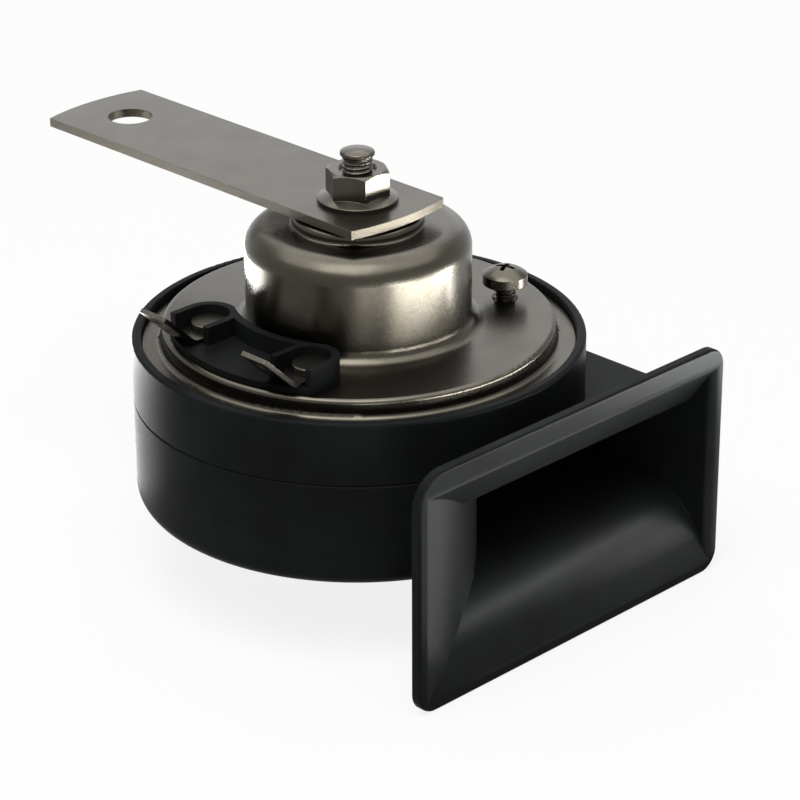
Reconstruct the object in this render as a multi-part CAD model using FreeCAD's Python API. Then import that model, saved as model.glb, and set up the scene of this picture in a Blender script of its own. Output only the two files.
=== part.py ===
"""Electric car horn of the snail trumpet kind, as an assembly of its real pieces.

Sizes are in millimetres. While a piece is built, the horn's axis is the Z axis, Z = 0 is the flat
base of the housing, and the bell opens towards -Y. The last step moves everything so that the
origin is the centre of the mounting hole in the bracket, half way through its thickness.
"""
import FreeCAD
import Part

import math
import os

V = FreeCAD.Vector
UP = V(0, 0, 1)

# Trumpet moulding, two halves that meet at the seam
HOUSING_R = 40.0
WALL = 1.9
SEAM_Z = 19.2
BASE_FILLET = 3.0
SEAM_GROOVE = 0.25
COVER_WALL = 1.7
COVER_PLATE_Z = 24.0
COVER_PLATE_T = 1.8
LEDGE_Z = 26.7
LEDGE_W = 4.8
RIM_ABOVE_FLANGE = 1.4
RIM_FILLET = 0.6
THROAT_R = 4.0
RAMP_RUN = 14.0
SPIRAL_R = 15.6
SPIRAL_STEP = 5.0
SPIRAL_END = 290.0
SPIGOT_CLEARANCE = 0.2

# Bell: the mouth is a rectangle in the plane Y = -MOUTH_REACH
MOUTH_REACH = 48.4
MOUTH_LEFT = -33.8
MOUTH_RIGHT = 42.3
MOUTH_TOP = 29.15
MOUTH_BOTTOM = -14.7
LIP_DEPTH = 1.8
LIP_W = 1.8
LIP_RIGHT_W = 2.6
LIP_TOP_W = 3.95
LIP_CORNER = 3.9
LIP_CORNER_TOP_LEFT = 6.0
LIP_ROUND = 0.5
MOUTH_ROUND = 0.9
MOUTH_ROUND_TOP = 2.1
MOUTH_ROUND_RIGHT = 1.7
MOUTH_ROUND_BOTTOM = 2.5
FLARE_R = 63.0
FLARE_ANGLE = 75.0
FLARE_STRAIGHT = 0.5
BOTTOM_FLARE_ANGLE = 66.0
BOTTOM_STRAIGHT = 5.0
RIGHT_FLARE_RUN = 16.0
RIGHT_FLARE_R = 30.0
TOP_FLARE_GAP = 0.9
TOP_FLARE_R = 1.2

# Driver cup, pressed from one sheet
CUP_T = 1.2
FLANGE_GAP = 0.2
DISC_R = 34.7
DISC_RISE = 3.4
DISC_BEND = 0.8
FLANGE_BEND = 0.95
DOME_R = 19.85
DOME_H = 18.1
DOME_SHOULDER = 4.2
DOME_FOOT = 2.2
PAD_R = 11.5
PAD_H = 2.0
PAD_ROUND = 1.0
STUD_HOLE_GAP = 0.1
SCREW_COLLAR_R = 3.1
SCREW_COLLAR_H = 0.8

# Diaphragm stack
GASKET_T = 0.5
GASKET_W = 3.4
DIAPHRAGM_T = 0.3
STACK_GAP = 0.2

# Stud, washer, bracket and nut
STUD_R = 3.0
STUD_ABOVE_NUT = 3.65
STUD_CROWN = 0.45
STUD_CHAMFER = 0.6
STUD_NECK_R = 2.6
STUD_NECK_TAPER = 0.4
STUD_END_H = 0.5
CORE_R = 6.0
WASHER_R = 10.4
WASHER_T = 0.5
WASHER_ROUND = 0.3
BRACKET_W = 22.2
BRACKET_T = 1.6
BRACKET_REACH = 60.2
BRACKET_STUD_END = 11.35
BRACKET_HOLE_END = 11.3
BRACKET_END_R = 41.0
BRACKET_HOLE_R = 4.1
BRACKET_STUD_GAP = 0.4
NUT_AF = 10.0
NUT_H = 5.9
NUT_FLANGE_R = 7.1
NUT_RIM_H = 0.7
NUT_CONE_R = 5.0
NUT_CONE_H = 1.5
NUT_TURN = 239.5
NUT_THREAD_GAP = 0.05
NUT_COUNTERSINK = 0.35
NUT_TOP_LAND = 0.1

# Adjusting screw
SCREW_INSET = 7.3
SCREW_ANGLE = -26.2
SCREW_R = 2.0
SCREW_FIT = 0.05
SCREW_HEAD_R = 4.0
SCREW_HEAD_H = 3.35
SCREW_HEAD_SIDE = 1.85
SCREW_HEAD_Z = 2.8
SCREW_TURN = 20.0
SCREW_HOLE_CHAMFER = 0.35
CROSS_W = 1.05
CROSS_SPAN = 4.6
CROSS_DEPTH = 2.0
SCREW_TIP_GAP = 0.1

# Terminal block, its two rivets and blades
RIVET_INSET = 7.8
RIVET_ANGLE = 28.2
RIVET_R = 1.6
RIVET_GAP = 0.1
RIVET_HEAD_R = 3.3
RIVET_HEAD_H = 1.1
RIVET_HEAD_EDGE = 0.25
RIVET_TAIL_R = 2.6
RIVET_TAIL_H = 0.5
BLOCK_T = 1.1
BLOCK_TOP = 4.4
BLOCK_HALF_ANGLE = 31.7
BLOCK_EDGE_GAP = 1.1
BLOCK_DOME_GAP = 0.1
BLOCK_WALL = 1.5
POCKET_GAP = 0.45
POCKET_WALL = 1.3
LEG_REACH = 4.7
SPIGOT_R = 2.6
BLADE_W = 6.3
BLADE_T = 0.8
BLADE_REACH = 6.1
BLADE_ANGLE = 44.0
BLADE_LENGTH = 9.2
BLADE_BEND_R = 1.0
BLADE_CHAMFER = 0.35
BLADE_HOLE_R = 0.8
BLADE_HOLE_INSET = 2.75

# Coil
BOBBIN_BORE_GAP = 0.3
BOBBIN_WALL = 1.0
BOBBIN_FLANGE_T = 1.2
BOBBIN_TOP_R = 15.4
BOBBIN_FOOT_R = 17.4
BOBBIN_Z = 33.4
WINDING_R = 16.9

# Armature and breaker
AIR_GAP = 0.8
CORE_Z = 36.3
ARMATURE_R = 6.0
COLLAR_R = 8.5
COLLAR_H = 0.6
COLLAR_GAP = 0.05
ARMATURE_STEM_R = 2.5
STEM_GAP = 0.05
ARMATURE_WASHER_T = 0.8
STEM_HEAD_R = 3.4
STEM_HEAD_H = 0.5
PLATE_T = 0.8
PLATE_W = 7.2
ARM_T = 0.3
ARM_W = 4.4
ARM_X = -9.6
ARM_KNEE_Y = 5.0
ARM_DROP = 0.6
CONTACT_GAP = 0.6
CONTACT_SPLIT = 0.02
CONTACT_R = 1.5
CONTACT_STEM_R = 0.7
CONTACT_STEM_H = 0.3
INSULATOR_R = 4.0

# Heights that follow from the sizes above
COVER_PLATE_TOP = COVER_PLATE_Z + COVER_PLATE_T
DIAPHRAGM_Z = LEDGE_Z + GASKET_T
DIAPHRAGM_TOP = DIAPHRAGM_Z + DIAPHRAGM_T
FLANGE_Z = DIAPHRAGM_TOP + GASKET_T
FLANGE_TOP = FLANGE_Z + CUP_T
RIM_TOP = FLANGE_TOP + RIM_ABOVE_FLANGE
DISC_TOP = FLANGE_TOP + DISC_RISE
DISC_Z = DISC_TOP - CUP_T
DOME_TOP = DISC_TOP + DOME_H
PAD_TOP = DOME_TOP + PAD_H
BRACKET_Z = PAD_TOP + WASHER_T
BRACKET_TOP = BRACKET_Z + BRACKET_T
NUT_TOP = BRACKET_TOP + NUT_H
STUD_TOP = NUT_TOP + STUD_ABOVE_NUT
BLOCK_PLATE_TOP = DISC_TOP + BLOCK_T
BLADE_PAD_TOP = BLOCK_PLATE_TOP + BLADE_T
ARM_TOP = DISC_Z - ARM_DROP
ARM_Z = ARM_TOP - ARM_T
PLATE_TOP = ARM_Z - CONTACT_GAP
PLATE_Z = PLATE_TOP - PLATE_T
ARMATURE_TOP = CORE_Z - AIR_GAP

# Radii that follow
COVER_BORE_R = HOUSING_R - COVER_WALL
FLANGE_R = COVER_BORE_R - FLANGE_GAP
CAVITY_R = HOUSING_R - WALL
BLOCK_IN_R = DOME_R + DOME_FOOT + BLOCK_DOME_GAP
BLOCK_OUT_R = DISC_R - BLOCK_EDGE_GAP
POCKET_R = BLADE_W / 2 + POCKET_GAP
BOSS_R = POCKET_R + POCKET_WALL
# Places on the disc, set in from its edge
SCREW_X = (DISC_R - SCREW_INSET) * math.cos(math.radians(SCREW_ANGLE))
SCREW_Y = (DISC_R - SCREW_INSET) * math.sin(math.radians(SCREW_ANGLE))
RIVET_X = -(DISC_R - RIVET_INSET) * math.cos(math.radians(RIVET_ANGLE))
RIVET_Y = (DISC_R - RIVET_INSET) * math.sin(math.radians(RIVET_ANGLE))
RIVETS = [(RIVET_X, -RIVET_Y), (RIVET_X, RIVET_Y)]
LEG_END_X = RIVET_X - LEG_REACH
BLADE_BEND_X = RIVET_X - BLADE_REACH


def cylinder(radius, z0, z1, x=0.0, y=0.0):
    return Part.makeCylinder(radius, z1 - z0, V(x, y, z0), UP)


def tube(inner, outer, z0, z1, x=0.0, y=0.0):
    return cylinder(outer, z0, z1, x, y).cut(cylinder(inner, z0, z1, x, y))


def box(x0, x1, y0, y1, z0, z1):
    return Part.makeBox(x1 - x0, y1 - y0, z1 - z0, V(x0, y0, z0))


def rounded_wire(corners):
    """Closed wire through corners (point, radius), each corner rounded by an arc."""
    edges = []
    starts = []
    ends = []
    count = len(corners)
    for i, (point, radius) in enumerate(corners):
        before = (corners[i - 1][0] - point).normalize()
        after = (corners[(i + 1) % count][0] - point).normalize()
        if radius == 0:
            starts.append(point)
            ends.append(point)
            continue
        half = before.getAngle(after) / 2
        reach = radius / math.tan(half)
        bisector = (before + after).normalize()
        centre = point + bisector * (radius / math.sin(half))
        starts.append(point + before * reach)
        ends.append(point + after * reach)
        edges.append(Part.Arc(starts[i], centre - bisector * radius, ends[i]).toShape())
    for i in range(count):
        j = (i + 1) % count
        if (starts[j] - ends[i]).Length > 1e-6:
            edges.append(Part.LineSegment(ends[i], starts[j]).toShape())
    return Part.Wire(Part.__sortEdges__(edges))


def revolved(profile):
    """Solid of revolution about Z from (radius, height, rounding) corners."""
    wire = rounded_wire([(V(r, 0, z), f) for r, z, f in profile])
    return Part.Face(wire).revolve(V(0, 0, 0), UP, 360)


def plan_prism(outline, z0, z1):
    """Upright prism from (x, y, rounding) corners."""
    wire = rounded_wire([(V(x, y, z0), f) for x, y, f in outline])
    return Part.Face(wire).extrude(V(0, 0, z1 - z0))


def side_prism(outline, x0, x1):
    """Prism along X from (y, z, rounding) corners."""
    wire = rounded_wire([(V(x0, y, z), f) for y, z, f in outline])
    return Part.Face(wire).extrude(V(x1 - x0, 0, 0))


def polar(radius, degrees, centre=(0.0, 0.0)):
    angle = math.radians(degrees)
    return centre[0] + radius * math.cos(angle), centre[1] + radius * math.sin(angle)


def ring_sector(inner, outer, start, end, z0, z1, centre=(0.0, 0.0)):
    """Upright wall that follows an arc from start to end degrees."""
    middle = (start + end) / 2
    points = [V(*polar(r, a, centre), z0) for r, a in (
        (outer, start), (outer, middle), (outer, end), (inner, end), (inner, middle), (inner, start))]
    edges = [
        Part.Arc(points[0], points[1], points[2]).toShape(),
        Part.LineSegment(points[2], points[3]).toShape(),
        Part.Arc(points[3], points[4], points[5]).toShape(),
        Part.LineSegment(points[5], points[0]).toShape(),
    ]
    return Part.Face(Part.Wire(edges)).extrude(V(0, 0, z1 - z0))


def tangent_corner(centre, radius, start, end):
    """Where the tangents of a circle at two angles meet: the corner that rounds to that arc."""
    half = math.radians(end - start) / 2
    return polar(radius / math.cos(half), (start + end) / 2, centre)


def strap(points, width, z0, z1):
    """Flat strip along a line of points, with round ends."""
    result = None
    for (x0, y0), (x1, y1) in zip(points, points[1:]):
        length = math.hypot(x1 - x0, y1 - y0)
        turn = math.degrees(math.atan2(y1 - y0, x1 - x0))
        leg = box(0, length, -width / 2, width / 2, z0, z1)
        leg.rotate(V(0, 0, 0), UP, turn)
        leg.translate(V(x0, y0, 0))
        leg = leg.fuse([cylinder(width / 2, z0, z1, x0, y0), cylinder(width / 2, z0, z1, x1, y1)])
        result = leg if result is None else result.fuse(leg)
    return result.removeSplitter()


# The flare: one arc that unrolls from the spiral wall and runs out to the left side of the mouth.
# Angles are measured from -Y towards -X, so that the wall's direction at an angle is its flare.
MOUTH_Y = -MOUTH_REACH
FLARE_END_X = MOUTH_LEFT + LIP_W + FLARE_STRAIGHT * math.sin(math.radians(FLARE_ANGLE))
FLARE_END_Y = MOUTH_Y + FLARE_STRAIGHT * math.cos(math.radians(FLARE_ANGLE))
FLARE_CENTRE = (
    FLARE_END_X - FLARE_R * math.cos(math.radians(FLARE_ANGLE)),
    FLARE_END_Y + FLARE_R * math.sin(math.radians(FLARE_ANGLE)),
)
ENTRY_ANGLE = math.degrees(math.asin(FLARE_CENTRE[1] / FLARE_R))
ENTRY = polar(FLARE_R, -ENTRY_ANGLE, FLARE_CENTRE)
SPIRAL_CENTRE = polar(-SPIRAL_R, -ENTRY_ANGLE, ENTRY)
INNER_CENTRE = polar(SPIRAL_STEP, 180 - ENTRY_ANGLE, SPIRAL_CENTRE)


def spiral_walls(z0, z1):
    """The two arcs of the channel wall, from the duct's entry round to the throat."""
    outer = ring_sector(SPIRAL_R - WALL, SPIRAL_R, -ENTRY_ANGLE, 180 - ENTRY_ANGLE, z0, z1, SPIRAL_CENTRE)
    inner_r = SPIRAL_R - SPIRAL_STEP
    inner = ring_sector(inner_r - WALL, inner_r, 180 - ENTRY_ANGLE, SPIRAL_END, z0, z1, INNER_CENTRE)
    return outer.fuse(inner).removeSplitter()


def bell_shell():
    """Outer form of the duct and bell, without the lip."""
    radius = FLARE_R - WALL
    start = polar(radius, -ENTRY_ANGLE, FLARE_CENTRE)
    corner = tangent_corner(FLARE_CENTRE, radius, -ENTRY_ANGLE, -FLARE_ANGLE)
    back = MOUTH_Y + LIP_DEPTH
    plan = plan_prism([
        (start[0], start[1], 0),
        (corner[0], corner[1], radius),
        (MOUTH_LEFT + LIP_W / 2, back, 0),
        (MOUTH_RIGHT - LIP_W / 2, back, 0),
        (HOUSING_R, MOUTH_Y + RIGHT_FLARE_RUN, RIGHT_FLARE_R),
        (HOUSING_R, ENTRY[1], 0),
        (ENTRY[0], ENTRY[1], 0),
    ], MOUTH_BOTTOM, MOUTH_TOP)
    bottom_start, bottom_corner, bottom_end = bottom_flare(WALL)
    flare_top = MOUTH_TOP - LIP_TOP_W + WALL / 2
    side = side_prism([
        (start[1], 0, 0),
        (bottom_start, 0, 0),
        (bottom_corner[0], bottom_corner[1], BOTTOM_FLARE_R - WALL),
        (back, bottom_end - WALL / math.sin(math.radians(BOTTOM_FLARE_ANGLE)) + LIP_W / 2, 0),
        (back, flare_top, 0),
        (-HOUSING_R - TOP_FLARE_GAP, SEAM_Z, TOP_FLARE_R),
        (start[1], SEAM_Z, 0),
    ], MOUTH_LEFT, MOUTH_RIGHT)
    return plan.common(side)


# The bottom flare drops from the duct's floor to the mouth: an arc, then a short straight
BOTTOM_DROP = WALL - (MOUTH_BOTTOM + LIP_W)
BOTTOM_FLARE_R = (BOTTOM_DROP - BOTTOM_STRAIGHT * math.sin(math.radians(BOTTOM_FLARE_ANGLE))) / (
    1 - math.cos(math.radians(BOTTOM_FLARE_ANGLE)))
BOTTOM_RUN = BOTTOM_FLARE_R * math.sin(math.radians(BOTTOM_FLARE_ANGLE)) + BOTTOM_STRAIGHT * math.cos(
    math.radians(BOTTOM_FLARE_ANGLE))


def bottom_flare(outward):
    """Start, rounding corner and end height of the bottom flare, set outward from the air side."""
    centre = (MOUTH_Y + BOTTOM_RUN, WALL - BOTTOM_FLARE_R)
    corner = tangent_corner(centre, BOTTOM_FLARE_R - outward, 90, 90 + BOTTOM_FLARE_ANGLE)
    return centre[0], corner, MOUTH_BOTTOM + LIP_W


def bell_air():
    """The space inside the duct and bell, run out past the mouth."""
    corner = tangent_corner(FLARE_CENTRE, FLARE_R, -ENTRY_ANGLE, -FLARE_ANGLE)
    out = MOUTH_Y - 2 * WALL
    plan = plan_prism([
        (ENTRY[0], ENTRY[1], 0),
        (corner[0], corner[1], FLARE_R),
        (MOUTH_LEFT + LIP_W, MOUTH_Y, MOUTH_ROUND),
        (MOUTH_LEFT, MOUTH_Y, 0),
        (MOUTH_LEFT, out, 0),
        (MOUTH_RIGHT, out, 0),
        (MOUTH_RIGHT, MOUTH_Y, 0),
        (MOUTH_RIGHT - LIP_RIGHT_W, MOUTH_Y, MOUTH_ROUND_RIGHT),
        (CAVITY_R, MOUTH_Y + RIGHT_FLARE_RUN, RIGHT_FLARE_R / 2),
        (CAVITY_R, ENTRY[1], 0),
    ], MOUTH_BOTTOM, MOUTH_TOP)
    bottom_start, bottom_corner, bottom_end = bottom_flare(0)
    top = MOUTH_TOP - LIP_TOP_W
    side = side_prism([
        (ENTRY[1], WALL, 0),
        (bottom_start, WALL, 0),
        (bottom_corner[0], bottom_corner[1], BOTTOM_FLARE_R),
        (MOUTH_Y, bottom_end, MOUTH_ROUND_BOTTOM),
        (MOUTH_Y, MOUTH_BOTTOM, 0),
        (out, MOUTH_BOTTOM, 0),
        (out, MOUTH_TOP, 0),
        (MOUTH_Y, MOUTH_TOP, 0),
        (MOUTH_Y, top, MOUTH_ROUND_TOP),
        (-HOUSING_R - TOP_FLARE_GAP - WALL, SEAM_Z - WALL, TOP_FLARE_R),
        (ENTRY[1], SEAM_Z - WALL, 0),
    ], MOUTH_LEFT, MOUTH_RIGHT)
    return plan.common(side)


def bell_lip():
    """Flat flange round the mouth, with its corners and front edge rounded."""
    wire = rounded_wire([
        (V(MOUTH_LEFT, MOUTH_Y, MOUTH_BOTTOM), LIP_CORNER),
        (V(MOUTH_RIGHT, MOUTH_Y, MOUTH_BOTTOM), LIP_CORNER),
        (V(MOUTH_RIGHT, MOUTH_Y, MOUTH_TOP), LIP_CORNER),
        (V(MOUTH_LEFT, MOUTH_Y, MOUTH_TOP), LIP_CORNER_TOP_LEFT),
    ])
    lip = Part.Face(wire).extrude(V(0, LIP_DEPTH, 0))
    front = [e for e in lip.Edges if abs(e.BoundBox.YMax - MOUTH_Y) < 1e-6]
    return lip.makeFillet(LIP_ROUND, front)


def trumpet_body():
    """Lower moulding: base, spiral channel, closed duct, flared bell and lip."""
    shell = revolved([
        (0, 0, 0),
        (HOUSING_R, 0, BASE_FILLET),
        (HOUSING_R, SEAM_Z - SEAM_GROOVE, 0),
        (HOUSING_R - SEAM_GROOVE, SEAM_Z, 0),
        (0, SEAM_Z, 0),
    ])
    bell = bell_shell()
    pocket = revolved([
        (0, WALL, 0),
        (CAVITY_R, WALL, BASE_FILLET - WALL),
        (CAVITY_R, SEAM_Z, 0),
        (0, SEAM_Z, 0),
    ]).cut(bell)
    body = shell.fuse([bell, bell_lip()]).cut(pocket).cut(bell_air())
    return body.fuse(spiral_walls(WALL, SEAM_Z)).removeSplitter()


def trumpet_cover():
    """Upper moulding: rim, ledge, plate with the throat, and the upper half of the channel."""
    ring = revolved([
        (HOUSING_R - SEAM_GROOVE, SEAM_Z, 0),
        (HOUSING_R, SEAM_Z + SEAM_GROOVE, 0),
        (HOUSING_R, RIM_TOP, RIM_FILLET),
        (COVER_BORE_R, RIM_TOP, RIM_FILLET / 2),
        (COVER_BORE_R, LEDGE_Z, 0),
        (COVER_BORE_R - LEDGE_W, LEDGE_Z, 0),
        (COVER_BORE_R - LEDGE_W, COVER_PLATE_TOP, 0),
        (THROAT_R, COVER_PLATE_TOP, COVER_PLATE_T / 3),
        (THROAT_R, COVER_PLATE_Z, COVER_PLATE_T / 3),
        (CAVITY_R, COVER_PLATE_Z, 0),
        (CAVITY_R, SEAM_Z, 0),
    ])
    room = cylinder(CAVITY_R, SEAM_Z, COVER_PLATE_Z)
    ramp = side_prism([
        (ENTRY[1], SEAM_Z, 0),
        (ENTRY[1] + RAMP_RUN, COVER_PLATE_Z, 0),
        (ENTRY[1], COVER_PLATE_Z, 0),
    ], ENTRY[0], CAVITY_R)
    ramp = ramp.common(room).cut(cylinder(SPIRAL_R, SEAM_Z, COVER_PLATE_Z, *SPIRAL_CENTRE))
    flare = ring_sector(FLARE_R - WALL, FLARE_R, -FLARE_ANGLE, -ENTRY_ANGLE, SEAM_Z, COVER_PLATE_Z, FLARE_CENTRE)
    return ring.fuse([spiral_walls(SEAM_Z, COVER_PLATE_Z), ramp, flare.common(room)]).removeSplitter()


def driver_cup():
    """Pressed cup: pad, dome, disc and the flange that clamps the diaphragm."""
    cup = revolved([
        (0, PAD_TOP, 0),
        (PAD_R, PAD_TOP, PAD_ROUND),
        (PAD_R, DOME_TOP, PAD_ROUND / 2),
        (DOME_R, DOME_TOP, DOME_SHOULDER),
        (DOME_R, DISC_TOP, DOME_FOOT),
        (DISC_R, DISC_TOP, DISC_BEND),
        (DISC_R, FLANGE_TOP, FLANGE_BEND),
        (FLANGE_R, FLANGE_TOP, 0),
        (FLANGE_R, FLANGE_Z, 0),
        (DISC_R - CUP_T, FLANGE_Z, FLANGE_BEND + CUP_T),
        (DISC_R - CUP_T, DISC_Z, DISC_BEND / 2),
        (DOME_R - CUP_T, DISC_Z, DOME_FOOT / 2),
        (DOME_R - CUP_T, DOME_TOP - CUP_T, DOME_SHOULDER - CUP_T),
        (PAD_R - CUP_T, DOME_TOP - CUP_T, 0),
        (PAD_R - CUP_T, PAD_TOP - CUP_T, 0),
        (0, PAD_TOP - CUP_T, 0),
    ])
    collar = cylinder(SCREW_COLLAR_R, DISC_Z - SCREW_COLLAR_H, DISC_TOP, SCREW_X, SCREW_Y)
    cup = cup.fuse(collar).removeSplitter()
    holes = [cylinder(STUD_R + STUD_HOLE_GAP, DOME_TOP - CUP_T, PAD_TOP)]
    bore = SCREW_R + SCREW_FIT
    holes.append(cylinder(bore, DISC_Z - SCREW_COLLAR_H, DISC_TOP, SCREW_X, SCREW_Y))
    holes.append(Part.makeCone(bore, bore + SCREW_HOLE_CHAMFER, SCREW_HOLE_CHAMFER,
                               V(SCREW_X, SCREW_Y, DISC_TOP - SCREW_HOLE_CHAMFER), UP))
    holes += [cylinder(SPIGOT_R + RIVET_GAP, DISC_Z, DISC_TOP, x, y) for x, y in RIVETS]
    return cup.cut(holes)


def pole_stud():
    """Stud above, thick pole core below, in one piece. The stud's end is staked wider than its neck."""
    end_z = STUD_TOP - STUD_CROWN - STUD_CHAMFER - STUD_END_H
    return revolved([
        (0, CORE_Z, 0),
        (CORE_R, CORE_Z, 0),
        (CORE_R, PAD_TOP - CUP_T, 0),
        (STUD_R, PAD_TOP - CUP_T, 0),
        (STUD_R, NUT_TOP - STUD_NECK_TAPER, 0),
        (STUD_NECK_R, NUT_TOP, 0),
        (STUD_NECK_R, end_z - STUD_NECK_TAPER, 0),
        (STUD_R, end_z, 0),
        (STUD_R, end_z + STUD_END_H, 0),
        (STUD_R - STUD_CHAMFER, STUD_TOP - STUD_CROWN, 0),
        (STUD_R / 3, STUD_TOP, 0),
        (0, STUD_TOP, 0),
    ])


def spacer_washer():
    return revolved([
        (STUD_R + STUD_HOLE_GAP, PAD_TOP, 0),
        (WASHER_R, PAD_TOP, 0),
        (WASHER_R, BRACKET_Z, WASHER_ROUND),
        (STUD_R + STUD_HOLE_GAP, BRACKET_Z, 0),
    ])


def mounting_bracket():
    """Flat strap whose ends are shallow arcs, with the stud hole and the mounting hole."""
    y0 = -BRACKET_STUD_END
    y1 = BRACKET_REACH + BRACKET_HOLE_END
    half = BRACKET_W / 2
    sagitta = BRACKET_END_R - math.sqrt(BRACKET_END_R ** 2 - half ** 2)
    places = ((-half, y0 + sagitta), (half, y0 + sagitta), (half, y1 - sagitta), (-half, y1 - sagitta))
    corners = [V(x, y, 0) for x, y in places]
    outline = Part.Wire([
        Part.Arc(corners[0], V(0, y0, 0), corners[1]).toShape(),
        Part.LineSegment(corners[1], corners[2]).toShape(),
        Part.Arc(corners[2], V(0, y1, 0), corners[3]).toShape(),
        Part.LineSegment(corners[3], corners[0]).toShape(),
    ])
    strip = Part.Face(outline).extrude(V(0, 0, BRACKET_T))
    strip.translate(V(0, 0, BRACKET_Z))
    stud = cylinder(STUD_R + BRACKET_STUD_GAP, BRACKET_Z, BRACKET_TOP)
    hole = cylinder(BRACKET_HOLE_R, BRACKET_Z, BRACKET_TOP, 0, BRACKET_REACH)
    return strip.cut([stud, hole])


def flange_nut():
    """Hexagon nut with its corners chamfered, on a conical flange."""
    corner_r = NUT_AF / math.sqrt(3)
    hexagon = [polar(corner_r, NUT_TURN + 60 * k) for k in range(6)]
    prism = plan_prism([(x, y, 0) for x, y in hexagon], BRACKET_TOP, NUT_TOP)
    chamfer = (corner_r - NUT_AF / 2 + NUT_TOP_LAND) * math.tan(math.radians(30))
    envelope = revolved([
        (0, BRACKET_TOP, 0),
        (corner_r, BRACKET_TOP, 0),
        (corner_r, NUT_TOP - chamfer, 0),
        (NUT_AF / 2 - NUT_TOP_LAND, NUT_TOP, 0),
        (0, NUT_TOP, 0),
    ])
    flange = revolved([
        (0, BRACKET_TOP, 0),
        (NUT_FLANGE_R, BRACKET_TOP, 0),
        (NUT_FLANGE_R, BRACKET_TOP + NUT_RIM_H, NUT_RIM_H / 4),
        (NUT_CONE_R, BRACKET_TOP + NUT_CONE_H, 0),
        (0, BRACKET_TOP + NUT_CONE_H, 0),
    ])
    nut = prism.common(envelope).fuse(flange).removeSplitter()
    bore = STUD_R + NUT_THREAD_GAP
    mouth = Part.makeCone(bore, bore + NUT_COUNTERSINK, NUT_COUNTERSINK, V(0, 0, NUT_TOP - NUT_COUNTERSINK), UP)
    return nut.cut([cylinder(bore, BRACKET_TOP, NUT_TOP), mouth])


def adjusting_screw():
    """Pan head screw with a cross recess. Its tip bears on the end of the contact plate."""
    head_z = DISC_TOP + SCREW_HEAD_Z
    side_top = head_z + SCREW_HEAD_SIDE
    tip_z = PLATE_TOP + SCREW_TIP_GAP
    dome = SCREW_HEAD_H - SCREW_HEAD_SIDE
    dome_r = (SCREW_HEAD_R ** 2 + dome ** 2) / (2 * dome)
    screw = revolved([
        (0, tip_z, 0),
        (SCREW_R / 2, tip_z, 0),
        (SCREW_R, tip_z + SCREW_R / 2, 0),
        (SCREW_R, head_z, 0),
        (SCREW_HEAD_R, head_z, 0),
        (SCREW_HEAD_R, head_z + SCREW_HEAD_H, 0),
        (0, head_z + SCREW_HEAD_H, 0),
    ])
    ball = Part.makeSphere(dome_r, V(0, 0, side_top + dome - dome_r))
    screw = screw.common(ball.fuse(cylinder(SCREW_HEAD_R, tip_z, side_top)))
    half = CROSS_SPAN / 2
    top = head_z + SCREW_HEAD_H
    floor = top - CROSS_DEPTH
    cross = box(-half, half, -CROSS_W / 2, CROSS_W / 2, floor, top)
    cross = cross.fuse(box(-CROSS_W / 2, CROSS_W / 2, -half, half, floor, top))
    taper = Part.makeCone(CROSS_W, half, CROSS_DEPTH, V(0, 0, floor), UP)
    screw = screw.cut(cross.common(taper)).removeSplitter()
    screw.rotate(V(0, 0, 0), UP, SCREW_TURN)
    screw.translate(V(SCREW_X, SCREW_Y, 0))
    return screw


def terminal_block():
    """Insulating moulding: plate on the disc, wall along the dome, a walled pocket round each rivet."""
    top = DISC_TOP + BLOCK_TOP
    start = 180 - BLOCK_HALF_ANGLE
    end = 180 + BLOCK_HALF_ANGLE
    block = ring_sector(BLOCK_IN_R, BLOCK_OUT_R, start, end, DISC_TOP, BLOCK_PLATE_TOP)
    block = block.fuse(ring_sector(BLOCK_IN_R, BLOCK_IN_R + BLOCK_WALL, start, end, DISC_TOP, top))
    for x, y in RIVETS:
        block = block.fuse(cylinder(BOSS_R, DISC_TOP, top, x, y))
        block = block.fuse(box(LEG_END_X, x, y - BOSS_R, y + BOSS_R, DISC_TOP, top))
    block = block.cut(cylinder(BLOCK_IN_R, DISC_TOP, top))
    block = block.common(cylinder(BLOCK_OUT_R, DISC_TOP, top))
    for x, y in RIVETS:
        block = block.cut(cylinder(POCKET_R, BLOCK_PLATE_TOP, top, x, y))
        block = block.cut(box(x - 2 * BOSS_R, x, y - POCKET_R, y + POCKET_R, BLOCK_PLATE_TOP, top))
        block = block.fuse(cylinder(SPIGOT_R, DISC_Z, DISC_TOP, x, y))
        block = block.cut(cylinder(RIVET_R + RIVET_GAP, DISC_Z, BLOCK_PLATE_TOP, x, y))
    return block.removeSplitter()


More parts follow.
